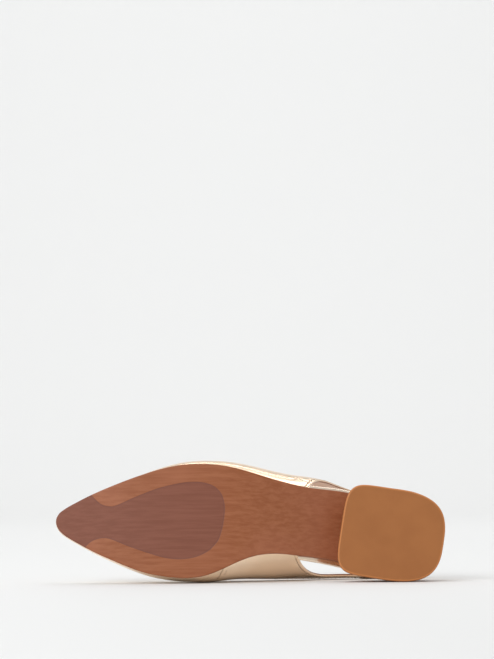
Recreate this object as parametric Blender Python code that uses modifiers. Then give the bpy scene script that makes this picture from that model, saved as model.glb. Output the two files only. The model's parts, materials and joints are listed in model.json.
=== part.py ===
"""Slingback pump, left shoe, lying on its inner side as an empty shoe does.

The shoe is modelled upright in its own frame and laid down at the end by one empty:
x runs from the toe tip to the heel, y is the height above the walking plane,
and z runs from the inner side, which is negative, to the outer side.
Every length is in metres.
"""

import math
from collections import namedtuple

import bmesh
import bpy
import numpy as np
from mathutils import Matrix, Vector

# Driving sizes of the last and the sole
SOLE_LENGTH = 0.2555
BALL_WIDTH = 0.0762
HEEL_HEIGHT = 0.0300
TOE_SPRING = 0.0095
INSTEP_HEIGHT = 0.0600
OUTSOLE_THICKNESS = 0.0022
OUTSOLE_EDGE = 0.0005

# Upper: its wall, where it stands on the sole, and the cuts of its quarters
WALL = 0.0016
FEATHER_INSET = 0.0004
FAN_LENGTH = 0.0400
DOME_LENGTH = 0.0080
THROAT = 0.0830
TAB_END = 0.2050
BULGE_LEAN = 0.35
ROUNDNESS = 2.15

# Rear cut of each quarter: where it leaves the sole, where it has become the strap's tab,
# and how quickly it sweeps from one to the other
Quarter = namedtuple("Quarter", "start tab sweep")
INNER_QUARTER = Quarter(0.1630, 0.1825, 1.8)
OUTER_QUARTER = Quarter(0.1695, 0.2005, 1.5)

# Footbed, with its wrapped edge that shows behind the quarters
FOOTBED_THICKNESS = 0.0032
FOOTBED_OVERHANG = 0.0019
FOOTBED_CLEARANCE = 0.0012
FOOTBED_PLAY = 0.00045
FOOTBED_STEP = 0.0004

# Sling strap
STRAP_WIDTH = 0.0100
STRAP_THICKNESS = 0.0018
STRAP_BLEND = 0.0200
STRAP_TILT = math.radians(7.0)
STRAP_BACK_HEIGHT = 0.0410

# Block heel and its top lift
LIFT_THICKNESS = 0.0050
LIFT_EDGE = 0.0010
LIFT_OVERHANG = 0.0004
HEEL_CENTRE = 0.2177
HEEL_FRONT = 0.0262
HEEL_INSET = 0.0005
SIDE_FLARE = 0.0068
BACK_FLARE = 0.0064
FRONT_CORNERS = 4.8
REAR_CORNERS = 3.1
HEEL_WAIST = 0.0005
HEEL_AXIS = (0.80, 0.92)

GAP = 0.0003
MERGE = 0.00001

# Sections of the last, toe to heel. station is a share of SOLE_LENGTH; inner, outer, inner_bulge,
# outer_bulge and ridge_side are shares of BALL_WIDTH; spring is a share of TOE_SPRING and rise
# of HEEL_HEIGHT; the levels of the widest places and the ridge are shares of INSTEP_HEIGHT above
# the feather line.
Section = namedtuple("Section", "station inner outer spring rise inner_bulge outer_bulge "
                                "inner_level outer_level ridge ridge_side")
SECTIONS = [
    Section(0.000, 0.012, 0.012, 1.00, 0.000, 0.006, 0.010, 0.055, 0.055, 0.120, 0.006),
    Section(0.018, -0.104, 0.108, 0.91, 0.000, 0.006, 0.010, 0.065, 0.065, 0.150, 0.005),
    Section(0.045, -0.164, 0.160, 0.78, 0.000, 0.006, 0.010, 0.075, 0.075, 0.200, 0.002),
    Section(0.100, -0.273, 0.251, 0.54, 0.000, 0.006, 0.011, 0.095, 0.095, 0.300, -0.003),
    Section(0.170, -0.379, 0.346, 0.27, 0.000, 0.008, 0.013, 0.120, 0.120, 0.425, -0.010),
    Section(0.240, -0.467, 0.428, 0.09, 0.000, 0.010, 0.022, 0.145, 0.145, 0.540, -0.018),
    Section(0.310, -0.503, 0.481, 0.01, 0.000, 0.013, 0.048, 0.165, 0.165, 0.650, -0.024),
    Section(0.360, -0.500, 0.495, 0.00, 0.000, 0.017, 0.063, 0.180, 0.180, 0.730, -0.027),
    Section(0.410, -0.462, 0.493, 0.00, 0.004, 0.049, 0.071, 0.220, 0.200, 0.805, -0.028),
    Section(0.460, -0.386, 0.473, 0.00, 0.024, 0.097, 0.084, 0.280, 0.225, 0.875, -0.026),
    Section(0.510, -0.311, 0.435, 0.00, 0.100, 0.155, 0.099, 0.360, 0.250, 0.945, -0.022),
    Section(0.560, -0.274, 0.392, 0.00, 0.220, 0.183, 0.109, 0.440, 0.265, 0.990, -0.017),
    Section(0.620, -0.275, 0.345, 0.00, 0.392, 0.165, 0.123, 0.520, 0.270, 1.015, -0.010),
    Section(0.680, -0.302, 0.307, 0.00, 0.566, 0.126, 0.144, 0.580, 0.275, 1.010, -0.004),
    Section(0.740, -0.336, 0.282, 0.00, 0.722, 0.082, 0.127, 0.610, 0.295, 1.000, 0.000),
    Section(0.800, -0.384, 0.250, 0.00, 0.838, 0.026, 0.107, 0.620, 0.330, 0.985, 0.000),
    Section(0.860, -0.424, 0.220, 0.00, 0.917, 0.000, 0.062, 0.620, 0.360, 0.975, 0.000),
    Section(0.920, -0.430, 0.168, 0.00, 0.967, 0.000, 0.020, 0.620, 0.380, 0.970, 0.000),
    Section(0.970, -0.369, 0.072, 0.00, 0.995, 0.000, 0.000, 0.620, 0.380, 0.970, 0.000),
    Section(1.000, -0.170, -0.170, 0.00, 1.010, 0.000, 0.000, 0.620, 0.380, 0.970, 0.000),
]

# Topline. station is a share of SOLE_LENGTH; collar is the share of the ridge height that the
# leather still covers, 1 at the throat.
Topline = namedtuple("Topline", "station collar")
TOPLINE = [
    Topline(0.326, 1.000),
    Topline(0.354, 0.958),
    Topline(0.393, 0.872),
    Topline(0.432, 0.779),
    Topline(0.471, 0.703),
    Topline(0.511, 0.653),
    Topline(0.550, 0.625),
    Topline(0.590, 0.608),
    Topline(0.648, 0.595),
    Topline(0.707, 0.588),
    Topline(0.780, 0.594),
    Topline(0.830, 0.612),
]

# Strap behind the quarters, inner side round the heel to the outer side. station is a share of
# SOLE_LENGTH, side a share of BALL_WIDTH, lift a share of STRAP_BACK_HEIGHT above the feather line.
StrapPoint = namedtuple("StrapPoint", "station side lift")
STRAP = [
    StrapPoint(0.8036, -0.4095, 0.7441),
    StrapPoint(0.8640, -0.4020, 0.7860),
    StrapPoint(0.9150, -0.3660, 0.8390),
    StrapPoint(0.9550, -0.2930, 0.9000),
    StrapPoint(0.9790, -0.1960, 0.9590),
    StrapPoint(0.9840, -0.0850, 1.0000),
    StrapPoint(0.9730, 0.0210, 0.9570),
    StrapPoint(0.9410, 0.1240, 0.8930),
    StrapPoint(0.8960, 0.2220, 0.8290),
    StrapPoint(0.8490, 0.2940, 0.7780),
    StrapPoint(0.8036, 0.3525, 0.7441),
]

# How finely the sections are worked out, and how finely the curved pieces are divided
BULGE_POINTS = 8
CROWN_POINTS = 32
WALL_POINTS = 48
RIB_STEPS = 16
TOE_GATHER = 1.8
CUT_GATHER = 1.3
FAN_STEPS = 9
VAMP_STEPS = 6
QUARTER_STEPS = 18
CUT_STEPS = 11
TAB_STEPS = 3
SEAT_STEPS = 15
RING_STEPS = 56
HEEL_LEVELS = 5
HEEL_CAP_RINGS = (0.66, 0.33, 0.0)
STRAP_STEPS = 42
STRAP_ACROSS = 3
SHARP_EDGE = math.radians(40.0)
BEVELLED_EDGE = math.radians(50.0)

# Colours are linear RGB
GOLD_LEATHER = (0.62, 0.46, 0.28)
SOLE_BROWN = (0.30, 0.11, 0.055)
CARAMEL = (0.37, 0.14, 0.048)
LINING_BEIGE = (0.62, 0.45, 0.33)


def spline(places, values):
    """Natural cubic spline through the points, as a function."""
    x = np.array(places, float)
    y = np.array(values, float)
    step = np.diff(x)
    slope = np.diff(y) / step
    system = np.eye(len(x))
    right = np.zeros(len(x))
    for i in range(1, len(x) - 1):
        system[i, i - 1:i + 2] = step[i - 1], 2.0 * (step[i - 1] + step[i]), step[i]
        right[i] = 6.0 * (slope[i] - slope[i - 1])
    bend = np.linalg.solve(system, right)

    def value(at):
        i = min(max(int(np.searchsorted(x, at)) - 1, 0), len(step) - 1)
        a = x[i + 1] - at
        b = at - x[i]
        curve = (bend[i] * a ** 3 + bend[i + 1] * b ** 3) / (6.0 * step[i])
        left = (y[i] / step[i] - bend[i] * step[i] / 6.0) * a
        return float(curve + left + (y[i + 1] / step[i] - bend[i + 1] * step[i] / 6.0) * b)

    return value


def turn_of(share):
    """Angle that spreads the stations so that both ends of an outline come out round."""
    return math.acos(max(-1.0, min(1.0, 1.0 - 2.0 * share)))


SHARES = [row.station for row in SECTIONS]
TURNS = [turn_of(share) for share in SHARES]
INNER = spline(TURNS, [row.inner for row in SECTIONS])
OUTER = spline(TURNS, [row.outer for row in SECTIONS])
SPRING = spline(SHARES, [row.spring for row in SECTIONS])
RISE = spline(SHARES, [row.rise for row in SECTIONS])
INNER_BULGE = spline(SHARES, [row.inner_bulge for row in SECTIONS])
OUTER_BULGE = spline(SHARES, [row.outer_bulge for row in SECTIONS])
INNER_LEVEL = spline(SHARES, [row.inner_level for row in SECTIONS])
OUTER_LEVEL = spline(SHARES, [row.outer_level for row in SECTIONS])
RIDGE = spline(SHARES, [row.ridge for row in SECTIONS])
RIDGE_SIDE = spline(SHARES, [row.ridge_side for row in SECTIONS])
COLLAR = spline([row.station for row in TOPLINE], [row.collar for row in TOPLINE])


def sole_edge(side, x):
    """Outsole edge in plan at x, on the inner side (-1) or the outer side (+1)."""
    column = INNER if side < 0 else OUTER
    return BALL_WIDTH * column(turn_of(x / SOLE_LENGTH))


def sole_height(x):
    """Lower face of the outsole above the walking plane."""
    share = x / SOLE_LENGTH
    return TOE_SPRING * SPRING(share) + HEEL_HEIGHT * RISE(share)


def feather_height(x):
    """Level where the upper and the footbed stand on the outsole."""
    return sole_height(x) + OUTSOLE_THICKNESS + GAP


def outward(side, x):
    """Plan direction square to the sole edge, pointing away from the sole."""
    angle = turn_of(x / SOLE_LENGTH)
    column = INNER if side < 0 else OUTER
    small = 0.001
    low = max(angle - small, 0.0)
    high = min(angle + small, math.pi)
    along_x = SOLE_LENGTH * (math.cos(low) - math.cos(high)) / 2.0
    along_z = BALL_WIDTH * (column(high) - column(low))
    if angle in (0.0, math.pi):
        along_x = 0.0
    return Vector((-side * along_z, side * along_x)).normalized()


def edge_point(side, x, offset):
    """Plan point at the sole edge moved outward by offset."""
    return Vector((x, sole_edge(side, x))) + outward(side, x) * offset


def arch(side, x):
    """Widest place, its height and the ridge of the section at x."""
    share = x / SOLE_LENGTH
    bulge = (INNER_BULGE if side < 0 else OUTER_BULGE)(share) * BALL_WIDTH + FEATHER_INSET
    base = feather_height(x)
    level = base + INSTEP_HEIGHT * (INNER_LEVEL if side < 0 else OUTER_LEVEL)(share)
    top = base + INSTEP_HEIGHT * RIDGE(share)
    return bulge, level, top


def wall_side(side, x, y):
    """Outer face of the upper at height y in the section at x, behind the toe."""
    bulge, level, top = arch(side, x)
    foot = sole_edge(side, x) - side * FEATHER_INSET
    base = feather_height(x)
    widest = foot + side * bulge
    if y <= level:
        share = max(0.0, (y - base) / (level - base))
        bend = 1.0 - 2.0 * BULGE_LEAN
        step = (-BULGE_LEAN + math.sqrt(BULGE_LEAN ** 2 + bend * share)) / bend
        return foot + side * bulge * (2.0 * step - step * step)
    centre = BALL_WIDTH * RIDGE_SIDE(x / SOLE_LENGTH)
    share = min(1.0, (y - level) / (top - level))
    return centre + (widest - centre) * (1.0 - share ** ROUNDNESS) ** (1.0 / ROUNDNESS)


def topline(side, x):
    """Height of the upper's top edge behind the throat."""
    base = feather_height(x)
    return base + COLLAR(x / SOLE_LENGTH) * (arch(side, x)[2] - base)


def rear_edge(side, x):
    """Lower border of the upper: the sole, then the swept rear cut, then the tab for the strap."""
    quarter = INNER_QUARTER if side < 0 else OUTER_QUARTER
    base = feather_height(x)
    if x <= quarter.start:
        return base
    under_tab = topline(side, x) - STRAP_WIDTH
    share = min(1.0, (x - quarter.start) / (quarter.tab - quarter.start))
    return base + (under_tab - base) * (1.0 - (1.0 - share) ** quarter.sweep)


def run_lengths(points):
    runs = [0.0]
    for a, b in zip(points, points[1:]):
        runs.append(runs[-1] + (b - a).length)
    return runs


def even(points, steps, spare=0.0):
    """The same path with its points spaced evenly, or, with a spare length that the cut took
    from its upper end, spaced as on the whole path low down and closer together at the top."""
    runs = run_lengths(points)
    shares = np.linspace(0.0, 1.0, steps + 1)
    places = shares * (runs[-1] + spare) - spare * shares ** 3
    return [Vector([float(np.interp(place, runs, [p[k] for p in points])) for k in range(3)])
            for place in places]


def vamp_rib(side, x):
    """Half section of the closed vamp, from the feather line to the ridge, fanned at the toe."""
    fan = max(0.0, 1.0 - x / FAN_LENGTH) ** 2
    straight = Vector((0.0, float(side)))
    way = (outward(side, x) * fan + straight * (1.0 - fan)).normalized()
    bulge, level, top = arch(side, x)
    base = feather_height(x)
    foot = edge_point(side, x, -FEATHER_INSET)
    widest = foot + way * bulge
    ridge_x = x + DOME_LENGTH * fan
    ridge = Vector((ridge_x, BALL_WIDTH * RIDGE_SIDE(ridge_x / SOLE_LENGTH)))
    points = []
    for i in range(BULGE_POINTS + 1):
        t = i / BULGE_POINTS
        spread = 2.0 * t - t * t
        height = base + (level - base) * (2.0 * BULGE_LEAN * t * (1.0 - t) + t * t)
        plan = foot + (widest - foot) * spread
        points.append(Vector((plan.x, height, plan.y)))
    for i in range(1, CROWN_POINTS + 1):
        angle = math.pi / 2.0 * i / CROWN_POINTS
        reach = max(math.cos(angle), 0.0) ** (2.0 / ROUNDNESS)
        climb = math.sin(angle) ** (2.0 / ROUNDNESS)
        plan = ridge + (widest - ridge) * reach
        peak = arch(side, max(plan.x, 0.0))[2]
        points.append(Vector((plan.x, level + (peak - level) * climb, plan.y)))
    return points


def quarter_rib(side, x, whole):
    """Half section behind the throat, from the lower border up to the topline. whole is the
    length of the last closed section, which the spacing fades away from."""
    low = rear_edge(side, x)
    high = topline(side, x)
    points = []
    for i in range(WALL_POINTS + 1):
        y = low + (high - low) * i / WALL_POINTS
        points.append(Vector((x, y, wall_side(side, x, y))))
    fade = max(0.0, 1.0 - (x - THROAT) / FAN_LENGTH) ** 2
    spare = max(0.0, whole - run_lengths(points)[-1]) * fade
    return even(points, RIB_STEPS, spare)


def stations(start, end, count, gather=1.0):
    """Evenly spaced places, closer together near the start when gather is above 1."""
    return [start + (end - start) * (i / count) ** gather for i in range(count + 1)]


def vamp_stations():
    return (stations(0.0, FAN_LENGTH, FAN_STEPS, TOE_GATHER)
            + stations(FAN_LENGTH, THROAT, VAMP_STEPS)[1:])


def quarter_stations(end):
    """Places behind the throat, closer together at both ends."""
    turns = [math.pi * i / QUARTER_STEPS for i in range(1, QUARTER_STEPS + 1)]
    return [THROAT + (end - THROAT) * (1.0 - math.cos(turn)) / 2.0 for turn in turns]


def tab_stations(quarter):
    return (stations(quarter.start, quarter.tab, CUT_STEPS, CUT_GATHER)[1:]
            + stations(quarter.tab, TAB_END, TAB_STEPS)[1:])


def seat_stations(start):
    turns = [math.pi / 2.0 * i / SEAT_STEPS for i in range(1, SEAT_STEPS + 1)]
    return [start + (SOLE_LENGTH - start) * math.sin(turn) for turn in turns]


def loft(columns):
    """Quad sheet through columns of points. Points that meet are merged."""
    sheet = bmesh.new()
    rows = [[sheet.verts.new(point) for point in column] for column in columns]
    for left, right in zip(rows, rows[1:]):
        for i in range(len(left) - 1):
            sheet.faces.new((left[i], left[i + 1], right[i + 1], right[i]))
    bmesh.ops.remove_doubles(sheet, verts=sheet.verts, dist=MERGE)
    return sheet


def material(name, colour, roughness, metallic=0.0):
    made = bpy.data.materials.new(name)
    made.use_nodes = True
    shader = made.node_tree.nodes["Principled BSDF"]
    shader.inputs["Base Color"].default_value = (*colour, 1.0)
    shader.inputs["Roughness"].default_value = roughness
    shader.inputs["Metallic"].default_value = metallic
    return made


def piece(name, mesh_source, collection, parent, look):
    """Object of this name from a bmesh, smooth except at its real edges."""
    mesh = bpy.data.meshes.new(name)
    mesh_source.to_mesh(mesh)
    mesh_source.free()
    mesh.materials.append(look)
    mesh.shade_smooth()
    mesh.set_sharp_from_angle(angle=SHARP_EDGE)
    made = bpy.data.objects.new(name, mesh)
    made.parent = parent
    collection.objects.link(made)
    return made


def thicken(made, thickness):
    """Wall that grows inward from the outer face."""
    shell = made.modifiers.new("Wall", "SOLIDIFY")
    shell.thickness = thickness
    shell.offset = -1.0
    shell.use_even_offset = True
    shell.use_quality_normals = True


def soften(made, width, segments=2):
    """Rounded edges where faces meet sharply."""
    edge = made.modifiers.new("Edge", "BEVEL")
    edge.width = width
    edge.segments = segments
    edge.limit_method = "ANGLE"
    edge.angle_limit = BEVELLED_EDGE


def plate(pairs, low, thickness):
    """Plate between paired edge points whose faces follow the height function."""
    columns = []
    for inner, outer in pairs:
        column = []
        for share in (0.0, 0.5, 1.0):
            point = inner.lerp(outer, share)
            column.append(Vector((point.x, low(point.x), point.y)))
        columns.append(column)
    sheet = loft(columns)
    raised = bmesh.ops.extrude_face_region(sheet, geom=list(sheet.faces))["geom"]
    verts = [item for item in raised if isinstance(item, bmesh.types.BMVert)]
    bmesh.ops.translate(sheet, verts=verts, vec=(0.0, thickness, 0.0))
    bmesh.ops.recalc_face_normals(sheet, faces=sheet.faces)
    return sheet


def outsole(collection, parent):
    end = INNER_QUARTER.start
    places = vamp_stations() + quarter_stations(end) + seat_stations(end)
    pairs = [(edge_point(-1, x, 0.0), edge_point(1, x, 0.0)) for x in places]
    sheet = plate(pairs, sole_height, OUTSOLE_THICKNESS)
    made = piece("outsole", sheet, collection, parent, material("sole_leather", SOLE_BROWN, 0.42))
    soften(made, OUTSOLE_EDGE, 1)
    return made


def footbed(collection, parent):
    """Footbed: inside the upper in front, wider than the outsole behind the quarters."""
    def inside(side, x):
        lean = math.atan2(arch(side, x)[0] * 2.0,
                          (arch(side, x)[1] - feather_height(x)) * 2.0 * BULGE_LEAN)
        return edge_point(side, x, -FEATHER_INSET - WALL * math.cos(lean) - FOOTBED_PLAY)

    def edge(side, x):
        quarter = INNER_QUARTER if side < 0 else OUTER_QUARTER
        wide = x > quarter.start + FOOTBED_CLEARANCE
        return edge_point(side, x, FOOTBED_OVERHANG) if wide else inside(side, x)

    steps = []
    for quarter in (INNER_QUARTER, OUTER_QUARTER):
        steps += [quarter.start + FOOTBED_CLEARANCE, quarter.start + FOOTBED_CLEARANCE + FOOTBED_STEP]
    places = vamp_stations() + quarter_stations(INNER_QUARTER.start) + steps
    pairs = [(edge(-1, x), edge(1, x)) for x in places + seat_stations(steps[-1])]
    sheet = plate(pairs, feather_height, FOOTBED_THICKNESS)
    made = piece("insole", sheet, collection, parent, material("footbed", LINING_BEIGE, 0.6))
    return made


def upper(collection, parent):
    """Vamp and quarters in one hollow wall, open at the collar, behind and underneath."""
    def half(side, quarter):
        vamp = [vamp_rib(side, x) for x in vamp_stations()]
        whole = run_lengths(vamp[-1])[-1]
        places = quarter_stations(quarter.start) + tab_stations(quarter)
        return ([even(rib, RIB_STEPS) for rib in vamp]
                + [quarter_rib(side, x, whole) for x in places])

    inner = half(-1, INNER_QUARTER)
    outer = half(1, OUTER_QUARTER)
    sheet = loft(inner[::-1] + outer[1:])
    if sum(face.normal.z * face.calc_center_median().z for face in sheet.faces) < 0.0:
        bmesh.ops.reverse_faces(sheet, faces=sheet.faces)
    made = piece("upper", sheet, collection, parent, material("gold_leather", GOLD_LEATHER, 0.35, 0.6))
    thicken(made, WALL)
    return made


def strap_columns():
    """Ribs of the strap from the inner tab round the heel to the outer tab."""
    runs = [0.0]
    for a, b in zip(STRAP, STRAP[1:]):
        runs.append(runs[-1] + math.hypot((b.station - a.station) * SOLE_LENGTH,
                                          (b.side - a.side) * BALL_WIDTH))
    station = spline(runs, [point.station for point in STRAP])
    side_of = spline(runs, [point.side for point in STRAP])
    lift = spline(runs, [point.lift for point in STRAP])
    start = TAB_END + GAP
    columns = []
    for i in range(STRAP_STEPS + 1):
        run = runs[-1] * i / STRAP_STEPS
        small = runs[-1] * 0.001
        x = max(start, SOLE_LENGTH * station(run))
        z = BALL_WIDTH * side_of(run)
        side = -1 if i * 2 < STRAP_STEPS else 1
        ahead = min(run + small, runs[-1])
        behind = max(run - small, 0.0)
        along = Vector((SOLE_LENGTH * (station(ahead) - station(behind)),
                        BALL_WIDTH * (side_of(ahead) - side_of(behind)))).normalized()
        away = Vector((along.y, -along.x))
        middle = feather_height(min(x, SOLE_LENGTH)) + STRAP_BACK_HEIGHT * lift(run)
        blend = min(1.0, (x - start) / STRAP_BLEND)
        blend = blend * blend * (3.0 - 2.0 * blend)
        column = []
        for j in range(STRAP_ACROSS + 1):
            rise = STRAP_WIDTH * (j / STRAP_ACROSS - 0.5)
            free = Vector((x, z)) - away * rise * math.sin(STRAP_TILT)
            free_height = middle + rise * math.cos(STRAP_TILT)
            if blend < 1.0:
                high = topline(side, x) - STRAP_WIDTH / 2.0 + rise
                held = Vector((x, wall_side(side, x, high)))
                free = held.lerp(free, blend)
                free_height = high + (free_height - high) * blend
            column.append(Vector((free.x, free_height, free.y)))
        columns.append(column)
    return columns


def sling_strap(collection, parent):
    sheet = loft(strap_columns())
    plan = heel_axis()[0]
    centre = Vector((plan.x, STRAP_BACK_HEIGHT, plan.y))
    if sum(face.normal.dot(face.calc_center_median() - centre) for face in sheet.faces) < 0.0:
        bmesh.ops.reverse_faces(sheet, faces=sheet.faces)
    made = piece("sling_strap", sheet, collection, parent,
                 material("strap_leather", GOLD_LEATHER, 0.35, 0.6))
    thicken(made, STRAP_THICKNESS)
    return made


def heel_axis():
    """Centre of the heel in plan and the turn of its axis, both taken from the seat."""
    def middle(x):
        return (sole_edge(-1, x) + sole_edge(1, x)) / 2.0

    near, far = (SOLE_LENGTH * share for share in HEEL_AXIS)
    return Vector((HEEL_CENTRE, middle(HEEL_CENTRE))), math.atan2(middle(far) - middle(near), far - near)


def heel_ring(flare, grow=0.0):
    """Plan outline of the heel: 0 flare is the seat, 1 the top lift."""
    centre, turn = heel_axis()
    half = (sole_edge(1, HEEL_CENTRE) - sole_edge(-1, HEEL_CENTRE)) / 2.0 * math.cos(turn)
    side = half - HEEL_INSET + flare * SIDE_FLARE + grow
    back = (SOLE_LENGTH - HEEL_CENTRE) - HEEL_INSET * 2.0 + flare * BACK_FLARE + grow
    front = HEEL_FRONT + grow
    points = []
    for i in range(RING_STEPS):
        angle = 2.0 * math.pi * i / RING_STEPS
        along = math.cos(angle)
        across = math.sin(angle)
        power = REAR_CORNERS if along > 0.0 else FRONT_CORNERS
        u = (back if along > 0.0 else front) * math.copysign(abs(along) ** (2.0 / power), along)
        v = side * math.copysign(abs(across) ** (2.0 / power), across)
        points.append(Vector((centre.x + u * math.cos(turn) - v * math.sin(turn),
                              centre.y + u * math.sin(turn) + v * math.cos(turn))))
    return centre, points


def stacked(rings):
    """Closed solid through rings of equal count, with a fan at each end."""
    columns = [ring + [ring[0]] for ring in rings]
    sheet = loft(columns)
    bmesh.ops.recalc_face_normals(sheet, faces=sheet.faces)
    return sheet


def heel_block(collection, parent):
    """Heel between the top lift and the outsole, whose slope its upper end follows."""
    rings = []
    low = LIFT_THICKNESS + GAP
    for level in range(HEEL_LEVELS + 1):
        share = level / HEEL_LEVELS
        waist = -HEEL_WAIST * math.sin(math.pi * share)
        centre, ring = heel_ring(1.0 - share, waist - LIFT_OVERHANG * (1.0 - share))
        ring = [Vector((p.x, low + (sole_height(p.x) - GAP - low) * share, p.y)) for p in ring]
        rings.append(ring)
    middle = Vector((centre.x, 0.0, centre.y))
    for share in HEEL_CAP_RINGS:
        inner = [middle.lerp(Vector((p.x, 0.0, p.z)), share) for p in rings[HEEL_LEVELS]]
        rings.append([Vector((p.x, sole_height(p.x) - GAP, p.z)) for p in inner])
    foot = Vector((centre.x, low, centre.y))
    rings.insert(0, [foot for point in rings[0]])
    return piece("heel_block", stacked(rings), collection, parent,
                 material("heel_cover", CARAMEL, 0.4))


def heel_tip(collection, parent):
    centre, ring = heel_ring(1.0)
    levels = []
    for share, height in ((0.0, 0.0), (1.0, 0.0), (1.0, LIFT_THICKNESS), (0.0, LIFT_THICKNESS)):
        levels.append([Vector((centre.x + (p.x - centre.x) * share, height,
                               centre.y + (p.y - centre.y) * share)) for p in ring])
    made = piece("heel_tip", stacked(levels), collection, parent,
                 material("top_lift", CARAMEL, 0.35))
    soften(made, LIFT_EDGE, 2)
    return made


def lay_on_inner_side(root, pieces):
    """Turn the root so that the shoe rests on its inner side, at the middle of the floor."""
    bpy.context.view_layer.update()
    graph = bpy.context.evaluated_depsgraph_get()
    cloud = bmesh.new()
    weight = 0.0
    balance = Vector((0.0, 0.0, 0.0))
    for made in pieces:
        mesh = made.evaluated_get(graph).to_mesh()
        mesh.calc_loop_triangles()
        for triangle in mesh.loop_triangles:
            a, b, c = (mesh.vertices[i].co for i in triangle.vertices)
            volume = a.dot(b.cross(c)) / 6.0
            weight += volume
            balance += (a + b + c) / 4.0 * volume
        for vertex in mesh.vertices:
            cloud.verts.new(vertex.co)
    balance /= weight
    hull = bmesh.ops.convex_hull(cloud, input=cloud.verts, use_existing_faces=False)
    faces = [item for item in hull["geom"] if isinstance(item, bmesh.types.BMFace)]
    best = None
    for face in faces:
        corners = [vert.co.copy() for vert in face.verts]
        normal = (corners[1] - corners[0]).cross(corners[2] - corners[0]).normalized()
        if normal.dot(corners[0] - balance) < 0.0:
            normal = -normal
        foot = balance + normal * normal.dot(corners[0] - balance)
        signs = []
        for a, b in zip(corners, corners[1:] + corners[:1]):
            signs.append((b - a).cross(foot - a).dot(normal))
        if min(signs) >= 0.0 or max(signs) <= 0.0:
            if best is None or normal.z < best.z:
                best = normal
    up = -best
    right = (Vector((1.0, 0.0, 0.0)) - up * up.x).normalized()
    away = up.cross(right)
    turn = Matrix((right, away, up))
    corners = [turn @ vert.co for vert in cloud.verts]
    cloud.free()
    low = Vector([min(corner[k] for corner in corners) for k in range(3)])
    high = Vector([max(corner[k] for corner in corners) for k in range(3)])
    shift = -Vector(((low.x + high.x) / 2.0, (low.y + high.y) / 2.0, low.z))
    root.matrix_world = Matrix.Translation(shift) @ turn.to_4x4()


def build():
    for old in list(bpy.data.objects):
        bpy.data.objects.remove(old, do_unlink=True)
    collection = bpy.data.collections.new("slingback_pump")
    bpy.context.scene.collection.children.link(collection)
    root = bpy.data.objects.new("shoe_axes", None)
    collection.objects.link(root)
    pieces = [make(collection, root)
              for make in (outsole, heel_block, heel_tip, footbed, upper, sling_strap)]
    lay_on_inner_side(root, pieces)


build()
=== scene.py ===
# %% [markdown]
# # Dressing a slingback pump
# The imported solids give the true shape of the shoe, lying on its inner side with its sole
# towards us. This lesson keeps every one of those shapes and gives them what makes them a
# shoe: metallic leather, a lining, folded and painted edges, thread, a printed leather sole
# and a satin heel.

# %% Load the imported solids
import json
import math

import bmesh
import bpy
import numpy as np
from mathutils import Matrix, Vector
from mathutils.bvhtree import BVHTree
from mathutils.kdtree import KDTree


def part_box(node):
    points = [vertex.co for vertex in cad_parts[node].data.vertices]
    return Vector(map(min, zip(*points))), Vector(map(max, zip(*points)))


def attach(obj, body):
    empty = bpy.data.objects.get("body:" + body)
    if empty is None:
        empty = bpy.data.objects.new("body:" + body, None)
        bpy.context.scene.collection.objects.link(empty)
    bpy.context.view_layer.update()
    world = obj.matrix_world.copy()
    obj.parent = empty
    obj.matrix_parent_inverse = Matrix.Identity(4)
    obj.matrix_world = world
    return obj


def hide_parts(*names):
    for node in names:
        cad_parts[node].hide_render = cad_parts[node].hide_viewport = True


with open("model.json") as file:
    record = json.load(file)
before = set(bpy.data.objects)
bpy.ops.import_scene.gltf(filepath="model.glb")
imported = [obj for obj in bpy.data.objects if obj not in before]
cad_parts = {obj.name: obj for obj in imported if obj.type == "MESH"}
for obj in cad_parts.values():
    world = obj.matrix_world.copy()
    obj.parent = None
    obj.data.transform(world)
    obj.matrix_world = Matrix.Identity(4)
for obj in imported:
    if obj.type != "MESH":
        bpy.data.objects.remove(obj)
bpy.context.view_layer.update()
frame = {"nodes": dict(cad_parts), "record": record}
print("nodes:", ", ".join(sorted(frame["nodes"])))

# %% [markdown]
# ## The shoe's own axes
# The shoe lies a little rolled, so a size such as "4 mm above the sole" has to be measured
# along the shoe's own axes. The record's heel tread gives the direction that the sole faces.
# Turning it round gives the shoe's up; the length runs along X, and the third axis points to
# the shoe's outer side.

# %% Axes of the shoe
MM = 0.001  # one millimetre, in the frame's metres
tread = next(mount for mount in frame["record"]["mounts"] if mount["name"] == "heel_tread")
UP = -Vector(tread["axis"]).normalized()
LENGTHWISE = (Vector((1.0, 0.0, 0.0)) - UP * UP.x).normalized()
OUTWARD = LENGTHWISE.cross(UP)
TOE_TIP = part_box("outsole")[0].x
SOLE_PLANE = Vector(tread["pos_m"]).dot(UP)


def from_toe(point):
    """How far a point is behind the toe tip."""
    return point.dot(LENGTHWISE) - TOE_TIP


def above_floor_when_worn(point):
    """How high a point stands above the walking plane."""
    return point.dot(UP) - SOLE_PLANE


print("up", [round(v, 4) for v in UP], "outward", [round(v, 4) for v in OUTWARD])

# %% [markdown]
# ## Camera, floor and light
# The photo was taken from two metres with a long lens, almost level, so the sole shows with
# hardly any perspective. The camera tips up a little because the shoe sits low in the frame,
# and it is rolled by under half a degree.

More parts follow.
